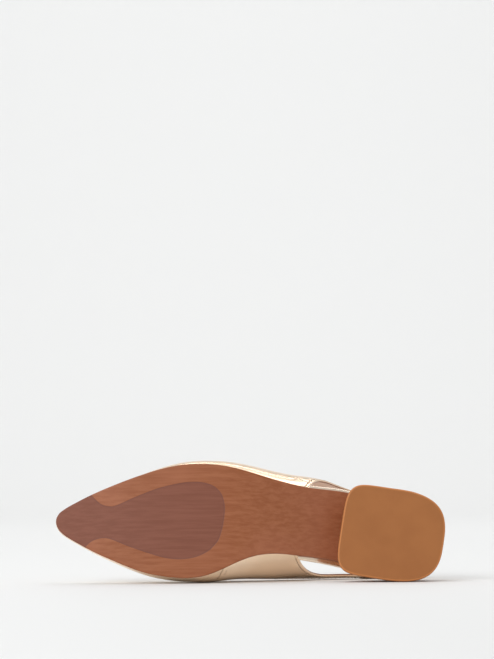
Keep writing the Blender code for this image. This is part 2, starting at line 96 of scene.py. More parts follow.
# %% Camera
LENS = 163.4
SENSOR = 36.0
CAMERA_PLACE = (-0.0008, -2.041, 0.084)
LEVEL = math.radians(90.0)
CAMERA_TIP = math.radians(2.446)
CAMERA_ROLL = math.radians(-0.43)
camera_data = bpy.data.cameras.new("camera")
camera_data.lens = LENS
camera_data.sensor_width = SENSOR
camera = bpy.data.objects.new("camera", camera_data)
camera.location = CAMERA_PLACE
camera.rotation_euler = (Matrix.Rotation(LEVEL + CAMERA_TIP, 3, "X")
                         @ Matrix.Rotation(CAMERA_ROLL, 3, "Z")).to_euler()
bpy.context.scene.collection.objects.link(camera)
bpy.context.scene.camera = camera
print("camera at", [round(v, 3) for v in camera.location])

# %% [markdown]
# The floor is a pale sweep: a flat plane that curves up behind the shoe, so no horizon shows.
# One edge is drawn back as the floor, spun up by a quarter turn and drawn on as the wall.

# %% Floor and backdrop
FLOOR_HALF = 4.0
CURVE_START = 2.0
CURVE_RADIUS = 1.0
CURVE_STEPS = 12
WALL_HEIGHT = 3.0
FLOOR_WHITE = (0.855, 0.86, 0.857)


def principled(name, colour, roughness, metallic=0.0, **sockets):
    """A Principled material with its uniform values set straight on the shader."""
    made = bpy.data.materials.new(name)
    made.use_nodes = True
    shader = made.node_tree.nodes["Principled BSDF"]
    shader.inputs["Base Color"].default_value = (*colour, 1.0)
    shader.inputs["Roughness"].default_value = roughness
    shader.inputs["Metallic"].default_value = metallic
    for socket, value in sockets.items():
        shader.inputs[socket.replace("_", " ")].default_value = value
    return made


def object_from(name, sheet, *finishes):
    """A named object at the origin from a bmesh, with its materials and smooth shading."""
    mesh = bpy.data.meshes.new(name)
    sheet.to_mesh(mesh)
    sheet.free()
    for finish in finishes:
        mesh.materials.append(finish)
    mesh.shade_smooth()
    made = bpy.data.objects.new(name, mesh)
    bpy.context.scene.collection.objects.link(made)
    return made


def floor_sweep():
    """Flat floor, quarter curve and wall in one sheet."""
    sheet = bmesh.new()
    left = sheet.verts.new((-FLOOR_HALF, -FLOOR_HALF, 0.0))
    right = sheet.verts.new((FLOOR_HALF, -FLOOR_HALF, 0.0))
    edge = sheet.edges.new((left, right))
    flat = bmesh.ops.extrude_edge_only(sheet, edges=[edge])["geom"]
    back = [item for item in flat if isinstance(item, bmesh.types.BMVert)]
    bmesh.ops.translate(sheet, verts=back, vec=(0.0, FLOOR_HALF + CURVE_START, 0.0))
    row = [item for item in flat if isinstance(item, bmesh.types.BMEdge)
           and all(vert in back for vert in item.verts)]
    bmesh.ops.spin(sheet, geom=back + row, cent=(0.0, CURVE_START, CURVE_RADIUS),
                   axis=(1.0, 0.0, 0.0), angle=math.radians(90.0), steps=CURVE_STEPS)
    top = max(vert.co.z for vert in sheet.verts)
    rim = [edge for edge in sheet.edges
           if all(abs(vert.co.z - top) < 0.1 * MM for vert in edge.verts)]
    wall = bmesh.ops.extrude_edge_only(sheet, edges=rim)["geom"]
    bmesh.ops.translate(sheet, vec=(0.0, 0.0, WALL_HEIGHT),
                        verts=[item for item in wall if isinstance(item, bmesh.types.BMVert)])
    bmesh.ops.recalc_face_normals(sheet, faces=sheet.faces)
    return sheet


pale = principled("pale_floor", FLOOR_WHITE, 0.7, Specular_IOR_Level=0.1)
sweep = object_from("floor_sweep", floor_sweep(), pale)
print("sweep", [round(v, 2) for v in sweep.dimensions])

# %% [markdown]
# A long narrow light above gives the bright line along the upper side of the leather. A large
# one, high in front and to the left, opens up the sole, and a third brightens the wall. An
# even white world fills the shadows.

# %% Lights
WORLD_STRENGTH = 0.60
ON_SHOE = (0.0, 0.0, 0.04)
ON_WALL = (0.0, 2.7, 0.2)


def soft_light(name, place, aim, size, power):
    """An oblong area light at a place, turned to what it lights."""
    data = bpy.data.lights.new(name, "AREA")
    data.shape = "RECTANGLE"
    data.size, data.size_y = size
    data.energy = power
    light = bpy.data.objects.new(name, data)
    light.location = place
    light.rotation_euler = (Vector(aim) - Vector(place)).to_track_quat("-Z", "Y").to_euler()
    bpy.context.scene.collection.objects.link(light)


soft_light("overhead", (0.0, 0.16, 1.2), ON_SHOE, size=(1.6, 0.26), power=3.7)
soft_light("front", (-1.2, -1.8, 1.25), ON_SHOE, size=(1.6, 0.9), power=25.5)
soft_light("wall_wash", (0.0, 1.2, 1.9), ON_WALL, size=(2.4, 0.5), power=16.8)
world = bpy.data.worlds.new("studio")
world.use_nodes = True
background = world.node_tree.nodes["Background"]
background.inputs["Color"].default_value = (1.0, 1.0, 1.0, 1.0)
background.inputs["Strength"].default_value = WORLD_STRENGTH
bpy.context.scene.world = world
bpy.context.scene.view_settings.view_transform = "Standard"

# %% [markdown]
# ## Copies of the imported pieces
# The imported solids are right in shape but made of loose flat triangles. A smooth skin starts
# from a copy: its doubles are merged and its triangles are joined into quads again. Its sharp
# edges are rounded first, because a Subdivision Surface would shrink them, and then the
# Subdivision Surface rounds what was faceted. The solids themselves stay as they are.

# %% Helpers for the copies
SHARP = math.radians(40.0)
MERGE_WITHIN = 0.02 * MM
FLAT_ENOUGH = math.radians(25.0)
SQUARE_ENOUGH = math.radians(60.0)
MOST_CUTS = 8


def copy_of(node):
    """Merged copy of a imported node, in quads."""
    sheet = bmesh.new()
    sheet.from_mesh(frame["nodes"][node].data)
    bmesh.ops.remove_doubles(sheet, verts=sheet.verts, dist=MERGE_WITHIN)
    bmesh.ops.join_triangles(sheet, faces=sheet.faces, angle_face_threshold=FLAT_ENOUGH,
                             angle_shape_threshold=SQUARE_ENOUGH)
    return sheet


def smooth_regions(sheet):
    """Groups of faces with no sharp edge inside them, largest area first."""
    seen = set()
    regions = []
    for first in sheet.faces:
        if first in seen:
            continue
        seen.add(first)
        region, waiting = [], [first]
        while waiting:
            face = waiting.pop()
            region.append(face)
            for edge in face.edges:
                if edge.calc_face_angle(math.pi) > SHARP:
                    continue
                for other in edge.link_faces:
                    if other not in seen:
                        seen.add(other)
                        waiting.append(other)
        regions.append(region)
    regions.sort(key=lambda faces: -sum(face.calc_area() for face in faces))
    return regions


def mean_normal(faces):
    """Where the faces look on the whole, each weighed by its area."""
    total = Vector()
    for face in faces:
        total += face.normal * face.calc_area()
    return total.normalized()


def round_sharp_edges(sheet, width, segments=2, clamp=True):
    """Bevels every sharp edge; clamped where neighbours would meet, unless told not to be."""
    sharp = [edge for edge in sheet.edges if edge.calc_face_angle(0.0) > SHARP]
    bmesh.ops.bevel(sheet, geom=sharp, offset=width, offset_type="OFFSET", segments=segments,
                    profile=0.5, affect="EDGES", clamp_overlap=clamp, material=-1)


def cut_long_edges(sheet, longest):
    """Halves edges until none is longer."""
    for _ in range(MOST_CUTS):
        long_edges = [edge for edge in sheet.edges if edge.calc_length() > longest]
        if not long_edges:
            break
        bmesh.ops.subdivide_edges(sheet, edges=long_edges, cuts=1, use_grid_fill=True)


def subdivided(sheet, levels):
    """The sheet after a Subdivision Surface of that many levels."""
    mesh = bpy.data.meshes.new("cage")
    sheet.to_mesh(mesh)
    sheet.free()
    cage = bpy.data.objects.new("cage", mesh)
    bpy.context.scene.collection.objects.link(cage)
    smoother = cage.modifiers.new("Round", "SUBSURF")
    smoother.levels = smoother.render_levels = levels
    graph = bpy.context.evaluated_depsgraph_get()
    fine = bmesh.new()
    fine.from_mesh(cage.evaluated_get(graph).to_mesh())
    bpy.data.objects.remove(cage, do_unlink=True)
    return fine


def dress(name, sheet, node, *finishes):
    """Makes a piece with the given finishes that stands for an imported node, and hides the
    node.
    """
    made = object_from(name, sheet, *finishes)
    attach(made, "root")
    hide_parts(node)
    low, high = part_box(node)
    corners = [Vector(v.co) for v in made.data.vertices]
    shrink = [round((min(c[i] for c in corners) - low[i]) / MM, 2) for i in range(3)]
    growth = [round((max(c[i] for c in corners) - high[i]) / MM, 2) for i in range(3)]
    print(name, "has", len(made.data.polygons), "faces; box differs by", shrink, growth, "mm")
    return made


# %% [markdown]
# ## Pattern helpers
# Every finish here is a small node tree on Object coordinates, in which one unit is a metre,
# so a grain of half a millimetre has a scale of about two thousand. Depths are in metres too.


# %% Node helpers
class Pattern:
    """Short way to add and join nodes in a material."""

    def __init__(self, finish):
        self.tree = finish.node_tree
        self.shader = self.tree.nodes["Principled BSDF"]
        self.place = self.tree.nodes.new("ShaderNodeTexCoord").outputs["Object"]

    def node(self, kind, inputs=None, **settings):
        made = self.tree.nodes.new("ShaderNode" + kind)
        for key, value in settings.items():
            setattr(made, key, value)
        for key, value in (inputs or {}).items():
            socket = made.inputs[key]
            if isinstance(value, bpy.types.NodeSocket):
                self.tree.links.new(value, socket)
            else:
                socket.default_value = value
        return made

    def stretched(self, scale):
        return self.node("Mapping", {"Vector": self.place, "Scale": scale}).outputs["Vector"]

    def noise(self, scale, detail=3.0, place=None, roughness=0.5):
        made = self.node("TexNoise", {"Vector": place or self.place, "Scale": scale,
                                      "Detail": detail, "Roughness": roughness})
        return made.outputs["Fac"]

    def cells(self, scale, feature="F1"):
        made = self.node("TexVoronoi", {"Vector": self.place, "Scale": scale}, feature=feature)
        return made.outputs["Distance"]

    def attribute(self, name):
        return self.node("Attribute", attribute_name=name).outputs["Fac"]

    def remap(self, value, low, high, to_low=0.0, to_high=1.0):
        made = self.node("MapRange", {"Value": value, "From Min": low, "From Max": high,
                                      "To Min": to_low, "To Max": to_high},
                         interpolation_type="SMOOTHSTEP")
        return made.outputs["Result"]

    def math(self, operation, first, second=0.0):
        made = self.node("Math", {0: first, 1: second}, operation=operation)
        return made.outputs["Value"]

    def times(self, value, share):
        return self.math("MULTIPLY", value, share)

    def near(self, value, middle, inner, outer):
        """1 where the value is near the middle, fading to 0 further off."""
        away = self.math("ABSOLUTE", self.math("SUBTRACT", value, middle))
        return self.remap(away, inner, outer, 1.0, 0.0)

    def blend(self, share, first, second):
        """Mix of two colours; each is an output or an RGB triple."""
        made = self.node("Mix", data_type="RGBA")
        sockets = [socket for socket in made.inputs if socket.type == "RGBA"]
        self.tree.links.new(share, made.inputs["Factor"])
        for socket, value in zip(sockets, (first, second)):
            if isinstance(value, bpy.types.NodeSocket):
                self.tree.links.new(value, socket)
            else:
                socket.default_value = (*value, 1.0)
        return next(socket for socket in made.outputs if socket.type == "RGBA")

    def colour(self, value):
        self.tree.links.new(value, self.shader.inputs["Base Color"])

    def roughness(self, value):
        self.tree.links.new(value, self.shader.inputs["Roughness"])

    def relief(self, height, depth, strength=1.0, under=None):
        """Bump of that depth in metres, on top of another bump if one is given."""
        inputs = {"Height": height, "Distance": depth, "Strength": strength}
        if under is not None:
            inputs["Normal"] = under
        made = self.node("Bump", inputs)
        self.tree.links.new(made.outputs["Normal"], self.shader.inputs["Normal"])
        return made.outputs["Normal"]


print("pattern helpers ready")

# %% [markdown]
# ## Finish: pale gold metallic leather
# Foil-coated leather is a thin metal film on smooth leather. Most of its look is a soft
# reflection, so the metallic share is full and the roughness low; a weak coat gives the
# creamy highlight. The grain is very fine, with long soft wrinkles. Near a cut edge the
# leather is folded over, which shows as a slightly raised band with a sunken line of thread
# beside it, and that line is darkened with painted shade. A crease gets painted shade in its
# bottom. The piece carries its distance from the edge, in millimetres, and its creases'
# painted shade for that.

# %% Gold leather
FOLD_WIDTH = 2.1
FOLD_FADE = 0.35
GOLD_BASE = (0.93, 0.68, 0.47)
WORN_GOLD = (0.74, 0.50, 0.32)
GROOVE_SHADE = (0.42, 0.27, 0.15)
CREASE_SHADE = (0.30, 0.15, 0.06)


def gold_leather(name, folded, light, dark):
    """Foil-coated leather; the folded kind shows its turned edges and its creases, with painted
    shade in their grooves.
    """
    made = principled(name, GOLD_BASE, 0.22, 1.0, Coat_Weight=0.2, Coat_Roughness=0.2)
    p = Pattern(made)
    mottled = p.blend(p.remap(p.noise(26.0, 2.0), 0.35, 0.7), light, dark)
    worn = p.remap(p.noise(140.0, 3.0), 0.3, 0.75)
    toned = p.blend(p.times(worn, 0.10), mottled, WORN_GOLD)
    skin = p.relief(p.noise(900.0, 1.0), 0.00002, 0.2)
    wrinkle = p.noise(150.0, 2.0, p.stretched((0.55, 1.0, 1.0)))
    skin = p.relief(wrinkle, 0.00025, 0.12, skin)
    if folded:
        edge = p.attribute("edge_mm")
        band = p.remap(edge, FOLD_WIDTH - 0.25, FOLD_WIDTH + FOLD_FADE, 1.0, 0.0)
        sunk = p.near(edge, FOLD_WIDTH, 0.0, 0.55)
        # painted shade along the groove beside the turned edge, where the stitches pull the
        # leather down
        toned = p.blend(p.times(sunk, 0.42), toned, GROOVE_SHADE)
        fold = p.math("SUBTRACT", p.times(band, 0.5), p.times(sunk, 0.7))
        p.relief(fold, 0.00026, 1.0, skin)
        # painted shade in the bottom of each crease, read from the crease attribute
        toned = p.blend(p.attribute("crease"), toned, CREASE_SHADE)
    p.colour(toned)
    p.roughness(p.remap(p.noise(90.0, 3.0), 0.3, 0.7, 0.19, 0.26))
    return made


gold = gold_leather("gold_leather", True, (0.99, 0.78, 0.58), (0.94, 0.71, 0.50))
# the rand is the same gold leather, painted paler to stand for the highlight on its rounded edge
gold_painted_highlight = gold_leather("gold_rand_painted_highlight", False, (0.99, 0.84, 0.68), (0.95, 0.78, 0.60))
print("gold leather ready")

# %% [markdown]
# ## Finish: lining, painted edge and thread
# The lining is thin pinkish-beige leather, matt and finely pored. Cut edges are sealed with
# an orange-brown edge paint, which is smooth and a little glossy.


# %% Lining, edge paint and thread
def lining_leather():
    """Matt, finely pored lining."""
    made = principled("lining_leather", (0.80, 0.60, 0.50), 0.55, Specular_IOR_Level=0.4)
    p = Pattern(made)
    cloud = p.remap(p.noise(30.0, 3.0), 0.35, 0.7)
    tone = p.blend(cloud, (0.84, 0.61, 0.47), (0.89, 0.68, 0.55))
    pores = p.remap(p.cells(2100.0), 0.0, 0.25, 1.0, 0.0)
    p.colour(p.blend(p.times(pores, 0.25), tone, (0.60, 0.41, 0.31)))
    p.roughness(p.remap(p.noise(160.0, 2.0), 0.3, 0.7, 0.48, 0.62))
    skin = p.relief(p.cells(2100.0, "SMOOTH_F1"), 0.00007, 0.45)
    p.relief(p.noise(420.0, 2.0), 0.0002, 0.25, skin)
    return made


def edge_paint():
    """Orange-brown seal on a cut edge."""
    made = principled("edge_paint", (0.28, 0.095, 0.036), 0.34, Coat_Weight=0.25)
    p = Pattern(made)
    patches = p.remap(p.noise(420.0, 2.0), 0.35, 0.7)
    p.colour(p.blend(patches, (0.22, 0.072, 0.026), (0.33, 0.12, 0.048)))
    p.roughness(p.remap(p.noise(900.0, 2.0), 0.3, 0.7, 0.28, 0.42))
    p.relief(p.noise(1300.0, 2.0), 0.00008, 0.5)
    return made


def thread():
    """Beige sewing thread."""
    made = principled("beige_thread", (0.40, 0.26, 0.15), 0.5)
    p = Pattern(made)
    fibres = p.remap(p.noise(1500.0, 1.0), 0.3, 0.7)
    p.colour(p.blend(fibres, (0.34, 0.215, 0.12), (0.47, 0.31, 0.185)))
    p.relief(p.noise(6000.0, 1.0), 0.00005, 0.6)
    return made


lining = lining_leather()
paint = edge_paint()
beige_thread = thread()
print("lining, edge paint and thread ready")

# %% [markdown]
# ## The upper
# One wall carries three finishes: gold outside, lining inside and edge paint between. The
# copy's smooth regions tell them apart, because only the wall's corners are sharp. On a real
# shoe the gold is turned over the cut and the paint covers only the lining's side of it, so
# the outer half of each cut is gold. The corners are rounded a little and the whole is
# subdivided. Near a cut the leather lies double, so the skin is raised there by the
# thickness of the turned leather, with a groove where the stitches pull it down. The sizes
# are in millimetres.

# %% Helpers for leather walls
GOLD, PAINT, LINING = 0, 1, 2
CORNER = 0.35
TURN_RISE = 0.16
TURN_START = 0.6
GROOVE_DEPTH = 0.14
GROOVE_WIDTH = 0.42
GROOVE_REACH = 2.0
FAR_FROM_EDGE = 12.0
FEATHER_AREA = 4e-4
FACES_DOWN = -0.7


def outward_share(faces, centre):
    """Above 0 where the faces look away from the centre."""
    return sum(face.normal.dot(face.calc_center_median() - centre) * face.calc_area()
               for face in faces)


def points_along(edges, spacing=0.4 * MM):
    """Points on the edges, close enough together to stand for them."""
    points = []
    for start, end in edges:
        steps = max(1, int((end - start).length / spacing))
        points += [start.lerp(end, i / steps) for i in range(steps + 1)]
    return points


def tree_of(points):
    """Search tree that finds the nearest of the points."""
    tree = KDTree(len(points))
    for index, point in enumerate(points):
        tree.insert(point, index)
    tree.balance()
    return tree


def sides_of(sheet):
    """Search trees of the points on the gold side and on the lining side."""
    return {key: tree_of([vert.co.copy() for vert in sheet.verts
                          if all(face.material_index == key for face in vert.link_faces)])
            for key in (GOLD, LINING)}


def wall_finishes(sheet, centre):
    """Marks a thin wall's faces, and returns the edges that bound its gold and its lining.

    The large face that stands on the sole is no turned edge and bounds nothing.
    """
    regions = smooth_regions(sheet)
    sides = sorted(regions[:2], key=lambda faces: outward_share(faces, centre))
    for face in sheet.faces:
        face.material_index = PAINT
    for index, side in ((LINING, sides[0]), (GOLD, sides[1])):
        for face in side:
            face.material_index = index
    bounds = {GOLD: [], LINING: []}
    for region in regions[2:]:
        area = sum(face.calc_area() for face in region)
        if mean_normal(region).dot(UP) < FACES_DOWN and area > FEATHER_AREA:
            continue
        for edge in dict.fromkeys(edge for face in region for edge in face.edges):
            for face in edge.link_faces:
                if face.material_index in bounds:
                    ends = [vert.co.copy() for vert in edge.verts]
                    bounds[face.material_index].append(ends)
    return bounds


def leather_wall(node, centre, levels):
    """Smooth copy of a wall with its finishes, its turned edges and its edge distances."""
    sheet = copy_of(node)
    bounds = wall_finishes(sheet, centre)
    round_sharp_edges(sheet, CORNER * MM)
    sheet = subdivided(sheet, levels)
    gold_edge, lining_edge = (tree_of(points_along(bounds[key])) for key in (GOLD, LINING))
    for face in sheet.faces:
        if face.material_index == PAINT:
            middle = face.calc_center_median()
            if gold_edge.find(middle)[2] < lining_edge.find(middle)[2]:
                face.material_index = GOLD
    layer = sheet.verts.layers.float.new("edge_mm")
    moves = {}
    for vert in sheet.verts:
        away = gold_edge.find(vert.co)[2] / MM
        vert[layer] = min(FAR_FROM_EDGE, away)
        on_gold = all(face.material_index == GOLD for face in vert.link_faces)
        if on_gold and away < FOLD_WIDTH + GROOVE_REACH:
            share = min(1.0, max(0.0, (FOLD_WIDTH + FOLD_FADE - away) / (2.0 * FOLD_FADE)))
            rise = TURN_RISE * share * share * (3.0 - 2.0 * share) * min(1.0, away / TURN_START)
            rise -= GROOVE_DEPTH * math.exp(-((away - FOLD_WIDTH) / GROOVE_WIDTH) ** 2)
            moves[vert] = vert.normal * rise * MM
    for vert, move in moves.items():
        vert.co += move
    return sheet, bounds


def on_table(value, table):
    """The table's amount at a value, in a straight line between its rows."""
    return float(np.interp(value, [row[0] for row in table], [row[1] for row in table]))


print("wall helpers ready")

# %% [markdown]
# ### Creases
# Creases are given in millimetres behind the toe tip and above the floor, and each is
# a soft trough with a low ridge beside it. The shoe is hardly worn: a small crease and a
# fainter one beside it run from the sole's edge behind the ball, and two soft ones lie at the
# foot of the outer quarter. The mesh is made finer along a crease before its points move.

# %% Creases
# Stops behind the toe tip and above the floor, then width, depth and share of shade
CREASES = [
    ([(112.8, 9.6), (111.0, 6.2), (108.6, 2.4)], 0.75, 0.50, 0.75),
    ([(114.8, 8.2), (113.6, 5.4)], 0.6, 0.22, 0.45),
    ([(162.0, 69.6), (167.0, 68.4), (171.6, 66.6)], 0.9, 0.22, 0.12),
    ([(165.0, 71.4), (170.0, 69.6), (173.2, 67.4)], 0.8, 0.16, 0.10),
]
IN_FRONT = -0.2

# In widths of the crease
FINER_WITHIN = 3.0
MOVED_WITHIN = 4.0
SHADE_WIDTH = 0.6
RIDGE_PLACE = 1.5
RIDGE_WIDTH = 0.8
RIDGE_LENGTH = 2.4
RIDGE_SHARE = 0.45


def bell(away, width):
    """1 at no distance, falling softly to 0."""
    return math.exp(-(away / width) ** 2)


def lay_crease(sheet, skin, stops, width, depth, shade):
    """A trough with painted shade in its bottom, along the stops, which are found on the skin
    from the sole's side.
    """
    found = []
    for behind_toe, height in stops:
        start = Vector((TOE_TIP + behind_toe * MM, IN_FRONT, height * MM))
        hit = skin.ray_cast(start, Vector((0.0, 1.0, 0.0)))[0]
        if hit is not None:
            found.append(hit)
    if len(found) < 2:
        return 0
    line = tree_of(points_along(list(zip(found, found[1:]))))
    close = [edge for edge in sheet.edges
             if all(line.find(vert.co)[2] < FINER_WITHIN * width * MM for vert in edge.verts)]
    bmesh.ops.subdivide_edges(sheet, edges=close, cuts=2, use_grid_fill=True)
    sheet.normal_update()
    painted_crease_shade = sheet.verts.layers.float["crease"]
    ridge_side = (found[-1] - found[0]).normalized()
    moved = 0
    for vert in sheet.verts:
        nearest, _, away = line.find(vert.co)
        if away > MOVED_WITHIN * width * MM:
            continue
        off = (vert.co - nearest).dot(ridge_side.cross(vert.normal)) / (width * MM)
        trough = bell(away, width * MM)
        ridge = RIDGE_SHARE * bell(off - RIDGE_PLACE, RIDGE_WIDTH)
        ridge *= bell(away, RIDGE_LENGTH * width * MM)
        vert.co += vert.normal * (ridge - trough) * depth * MM
        # painted shade, darkest along the bottom of the trough
        vert[painted_crease_shade] = max(vert[painted_crease_shade], shade * bell(away, SHADE_WIDTH * width * MM))
        moved += 1
    return moved


print(len(CREASES), "creases to lay")

# %% [markdown]
# ### Small shifts of one side
# In places the photo shows one side of a piece a millimetre or two further out or in than
# its solid. A table gives the shift, in millimetres, against the distance behind the toe tip.
# It is full at the piece's side and fades to nothing at its middle.

# %% Shifts of one side
SPAN_STEP = 6.0
TOE_TRIM = [(-5.0, 0.4), (10.0, 0.6), (22.0, 1.0), (70.0, 1.0), (98.0, 0.0)]


def swell(sheet, table, share_of=lambda point: 1.0, side=1.0):
    """Moves the outer side (1) or the inner side (-1) of a piece outwards by a table."""
    widths = {}
    for vert in sheet.verts:
        step = round(from_toe(vert.co) / MM / SPAN_STEP)
        widths.setdefault(step, []).append(vert.co.dot(OUTWARD))
    steps = sorted(widths)
    stops = [step * SPAN_STEP for step in steps]
    middles = [(min(widths[step]) + max(widths[step])) / 2.0 for step in steps]
    halves = [max(MM, (max(widths[step]) - min(widths[step])) / 2.0) for step in steps]
    for vert in sheet.verts:
        place = from_toe(vert.co) / MM
        off = vert.co.dot(OUTWARD) - np.interp(place, stops, middles)
        share = min(1.0, max(0.0, side * off / np.interp(place, stops, halves)))
        vert.co += OUTWARD * on_table(place, table) * share * share_of(vert.co) * MM


print("shifts start with", len(TOE_TRIM), "rows for the toe")

# %% [markdown]
# ## The upper
# The upper is made as a leather wall, its toe is shifted on the inner side, and the creases
# are laid on it last.

# %% Build the upper
upper_low, upper_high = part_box("upper")
upper_sheet, upper_bounds = leather_wall("upper", (upper_low + upper_high) / 2.0, 2)
swell(upper_sheet, TOE_TRIM, side=-1.0)
upper_sheet.normal_update()
upper_skin = BVHTree.FromBMesh(upper_sheet)
# the crease layer holds each point's painted shade in a crease
upper_sheet.verts.layers.float.new("crease")
for crease in CREASES:
    print("crease moved", lay_crease(upper_sheet, upper_skin, *crease), "points")
upper_sheet.normal_update()
upper_skin = BVHTree.FromBMesh(upper_sheet)
upper_sides = sides_of(upper_sheet)
dress("upper_leather", upper_sheet, "upper", gold, paint, lining)

# %% [markdown]
# ## The sling strap
# The strap is the same leather, folded on both long edges and lined, and made the same way.
# Its ends are drawn a little into the quarters, so that only a fine butt seam shows. Beside
# the heel its outer run is lifted and its inner run lowered by up to a millimetre.

# %% Build the strap
OUTER_LIFT = [(150.0, 0.0), (172.0, 0.7), (188.0, 1.2), (205.0, 0.8), (225.0, 0.0)]
INNER_DROP = [(160.0, 0.0), (178.0, 0.8), (192.0, 0.8), (203.0, 0.15), (210.0, 0.0)]
SEAM_WITHIN = 0.5 * MM
SEAM_PULL = 1.15
IN_THE_LOOP = Vector((10 * MM, 0.0, 0.0))
strap_low, strap_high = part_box("sling_strap")
strap_centre = (strap_low + strap_high) / 2.0 - IN_THE_LOOP
strap_sheet, strap_bounds = leather_wall("sling_strap", strap_centre, 2)
for vert in strap_sheet.verts:
    nearest, _, _, away = upper_skin.find_nearest(vert.co)
    if away < SEAM_WITHIN:
        vert.co += (nearest - vert.co) * SEAM_PULL
    behind_toe = from_toe(vert.co) / MM
    if vert.co.z > strap_centre.z:
        vert.co.z += on_table(behind_toe, OUTER_LIFT) * MM
    else:
        vert.co.z -= on_table(behind_toe, INNER_DROP) * MM
strap_sheet.normal_update()
strap_skin = BVHTree.FromBMesh(strap_sheet)
strap_sides = sides_of(strap_sheet)
dress("strap_leather", strap_sheet, "sling_strap", gold, paint, lining)

# %% [markdown]
# ## Stitches
# A single row of beige thread holds each turned edge, on the gold and on the lining. Each
# stitch is a coarse sphere drawn out along the row and sunk by half its thickness into the
# leather. Which way is inward is read from the points of that side nearby. No stitch is laid
# round a sharp corner. The sizes are in millimetres.

# %% Stitch rows
STITCH_PITCH = 2.9
STITCH_LENGTH = 2.1
STITCH_RADIUS = 0.24
STITCH_FLATNESS = 0.8
SHARPEST_TURN = math.radians(50.0)
NEAR_SIDE = (0.6, 1.6)
FEWEST_POINTS = 3


def chains_of(edges):
    """Loose edges joined end to end into lines."""
    def key(point):
        return tuple(round(value, 6) for value in point)
    links = {}
    for start, end in edges:
        links.setdefault(key(start), []).append((start, end))
        links.setdefault(key(end), []).append((end, start))
    left = {frozenset((key(a), key(b))) for a, b in edges}
    lines = []
    for first in sorted(links, key=lambda k: (len(links[k]) != 1, k)):
        place = first
        line = []
        while True:
            step = next(((a, b) for a, b in links[place]
                         if frozenset((key(a), key(b))) in left), None)
            if step is None:
                break
            left.discard(frozenset((key(step[0]), key(step[1]))))
            if not line:
                line.append(step[0])
            line.append(step[1])
            place = key(step[1])
        if len(line) > 1:
            lines.append(line)
    return lines


def spaced(line, pitch):
    """Points at equal steps along a line."""
    lengths = np.cumsum([0.0] + [(b - a).length for a, b in zip(line, line[1:])])
    count = max(2, int(lengths[-1] / pitch))
    places = np.array([list(point) for point in line])
    stops = np.linspace(0.0, lengths[-1], count + 1)
    return [Vector([np.interp(stop, lengths, places[:, k]) for k in range(3)]) for stop in stops]


def stitch_row(sheet, line, side, skin, inset):
    """A row of stitches on one side of a wall, that far inside the line."""
    closest, furthest = (share * inset * MM for share in NEAR_SIDE)
    stretch = Matrix.Diagonal((STITCH_RADIUS, STITCH_LENGTH / 2.0,
                               STITCH_RADIUS * STITCH_FLATNESS, 1.0))
    stops = spaced(line, STITCH_PITCH * MM)
    made = 0
    for before, here, after in zip(stops, stops[1:], stops[2:]):
        if (here - before).angle(after - here, 0.0) > SHARPEST_TURN:
            continue
        along = (after - before).normalized()
        near = [place for place, _, away in side.find_range(here, furthest) if away > closest]
        if len(near) < FEWEST_POINTS:
            continue
        inward = sum(near, Vector()) / len(near) - here
        inward = (inward - along * inward.dot(along)).normalized()
        place, normal, _, _ = skin.find_nearest(here + inward * inset * MM)
        across = normal.cross(along).normalized()
        turn = Matrix((across, normal.cross(across), normal)).transposed().to_4x4()
        bmesh.ops.create_uvsphere(sheet, u_segments=8, v_segments=5, radius=MM,
                                  matrix=Matrix.Translation(place) @ turn @ stretch)
        made += 1
    return made


stitch_sheet = bmesh.new()
for bounds, sides, skin in ((upper_bounds, upper_sides, upper_skin),
                            (strap_bounds, strap_sides, strap_skin)):
    for key in (GOLD, LINING):
        rows = [stitch_row(stitch_sheet, line, sides[key], skin, FOLD_WIDTH)
                for line in chains_of(bounds[key])]
        print("stitches in rows:", rows)
stitches = object_from("edge_stitches", stitch_sheet, beige_thread)
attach(stitches, "root")
print("stitches have", len(stitches.data.polygons), "faces")

# %% [markdown]
# ## The footbed
# The footbed is wrapped in gold leather at its edge, which shows behind the quarters as a
# thin rand; its gold is painted paler, as a highlight along the rounded edge. Its top is
# lining leather. Behind the quarters its outer side swells a little more than the solid does,
# and it steps forward by a millimetre or two where the rand starts.

# %% Build the footbed
SWELL = [(140.0, 0.0), (157.0, 0.5), (167.0, 1.1), (177.0, 1.7), (187.0, 2.3), (194.0, 2.6),
         (204.0, 2.3), (217.0, 1.1), (231.0, 0.0)]
STEP_FORWARD = [(156.0, 0.0), (161.0, 1.6), (166.0, 1.6), (176.0, 0.0)]
RAND_ROUNDING = 0.9 * MM
FACES_UP = 0.9
footbed_sheet = copy_of("insole")
for region in smooth_regions(footbed_sheet):
    facing = mean_normal(region).dot(UP)
    for face in region:
        face.material_index = LINING if facing > FACES_UP else GOLD
round_sharp_edges(footbed_sheet, RAND_ROUNDING, 3, clamp=False)
footbed_sheet = subdivided(footbed_sheet, 2)
swell(footbed_sheet, SWELL)
swell(footbed_sheet, TOE_TRIM, side=-1.0)
for vert in footbed_sheet.verts:
    vert.co -= LENGTHWISE * on_table(from_toe(vert.co) / MM, STEP_FORWARD) * MM
dress("footbed_wrap", footbed_sheet, "insole", gold_painted_highlight, paint, lining)

# %% [markdown]
# ## Finish: the printed leather sole
# The sole is brown vegetable-tanned leather with fine streaks along its length. A darker
# print covers the toe and the ball. Its outline is a short table in millimetres behind the
# toe tip and above the floor, and a spline rounds it. Each point of the sole knows how far
# inside the outline it lies. That distance changes evenly, so the print's border stays crisp
# between two points.

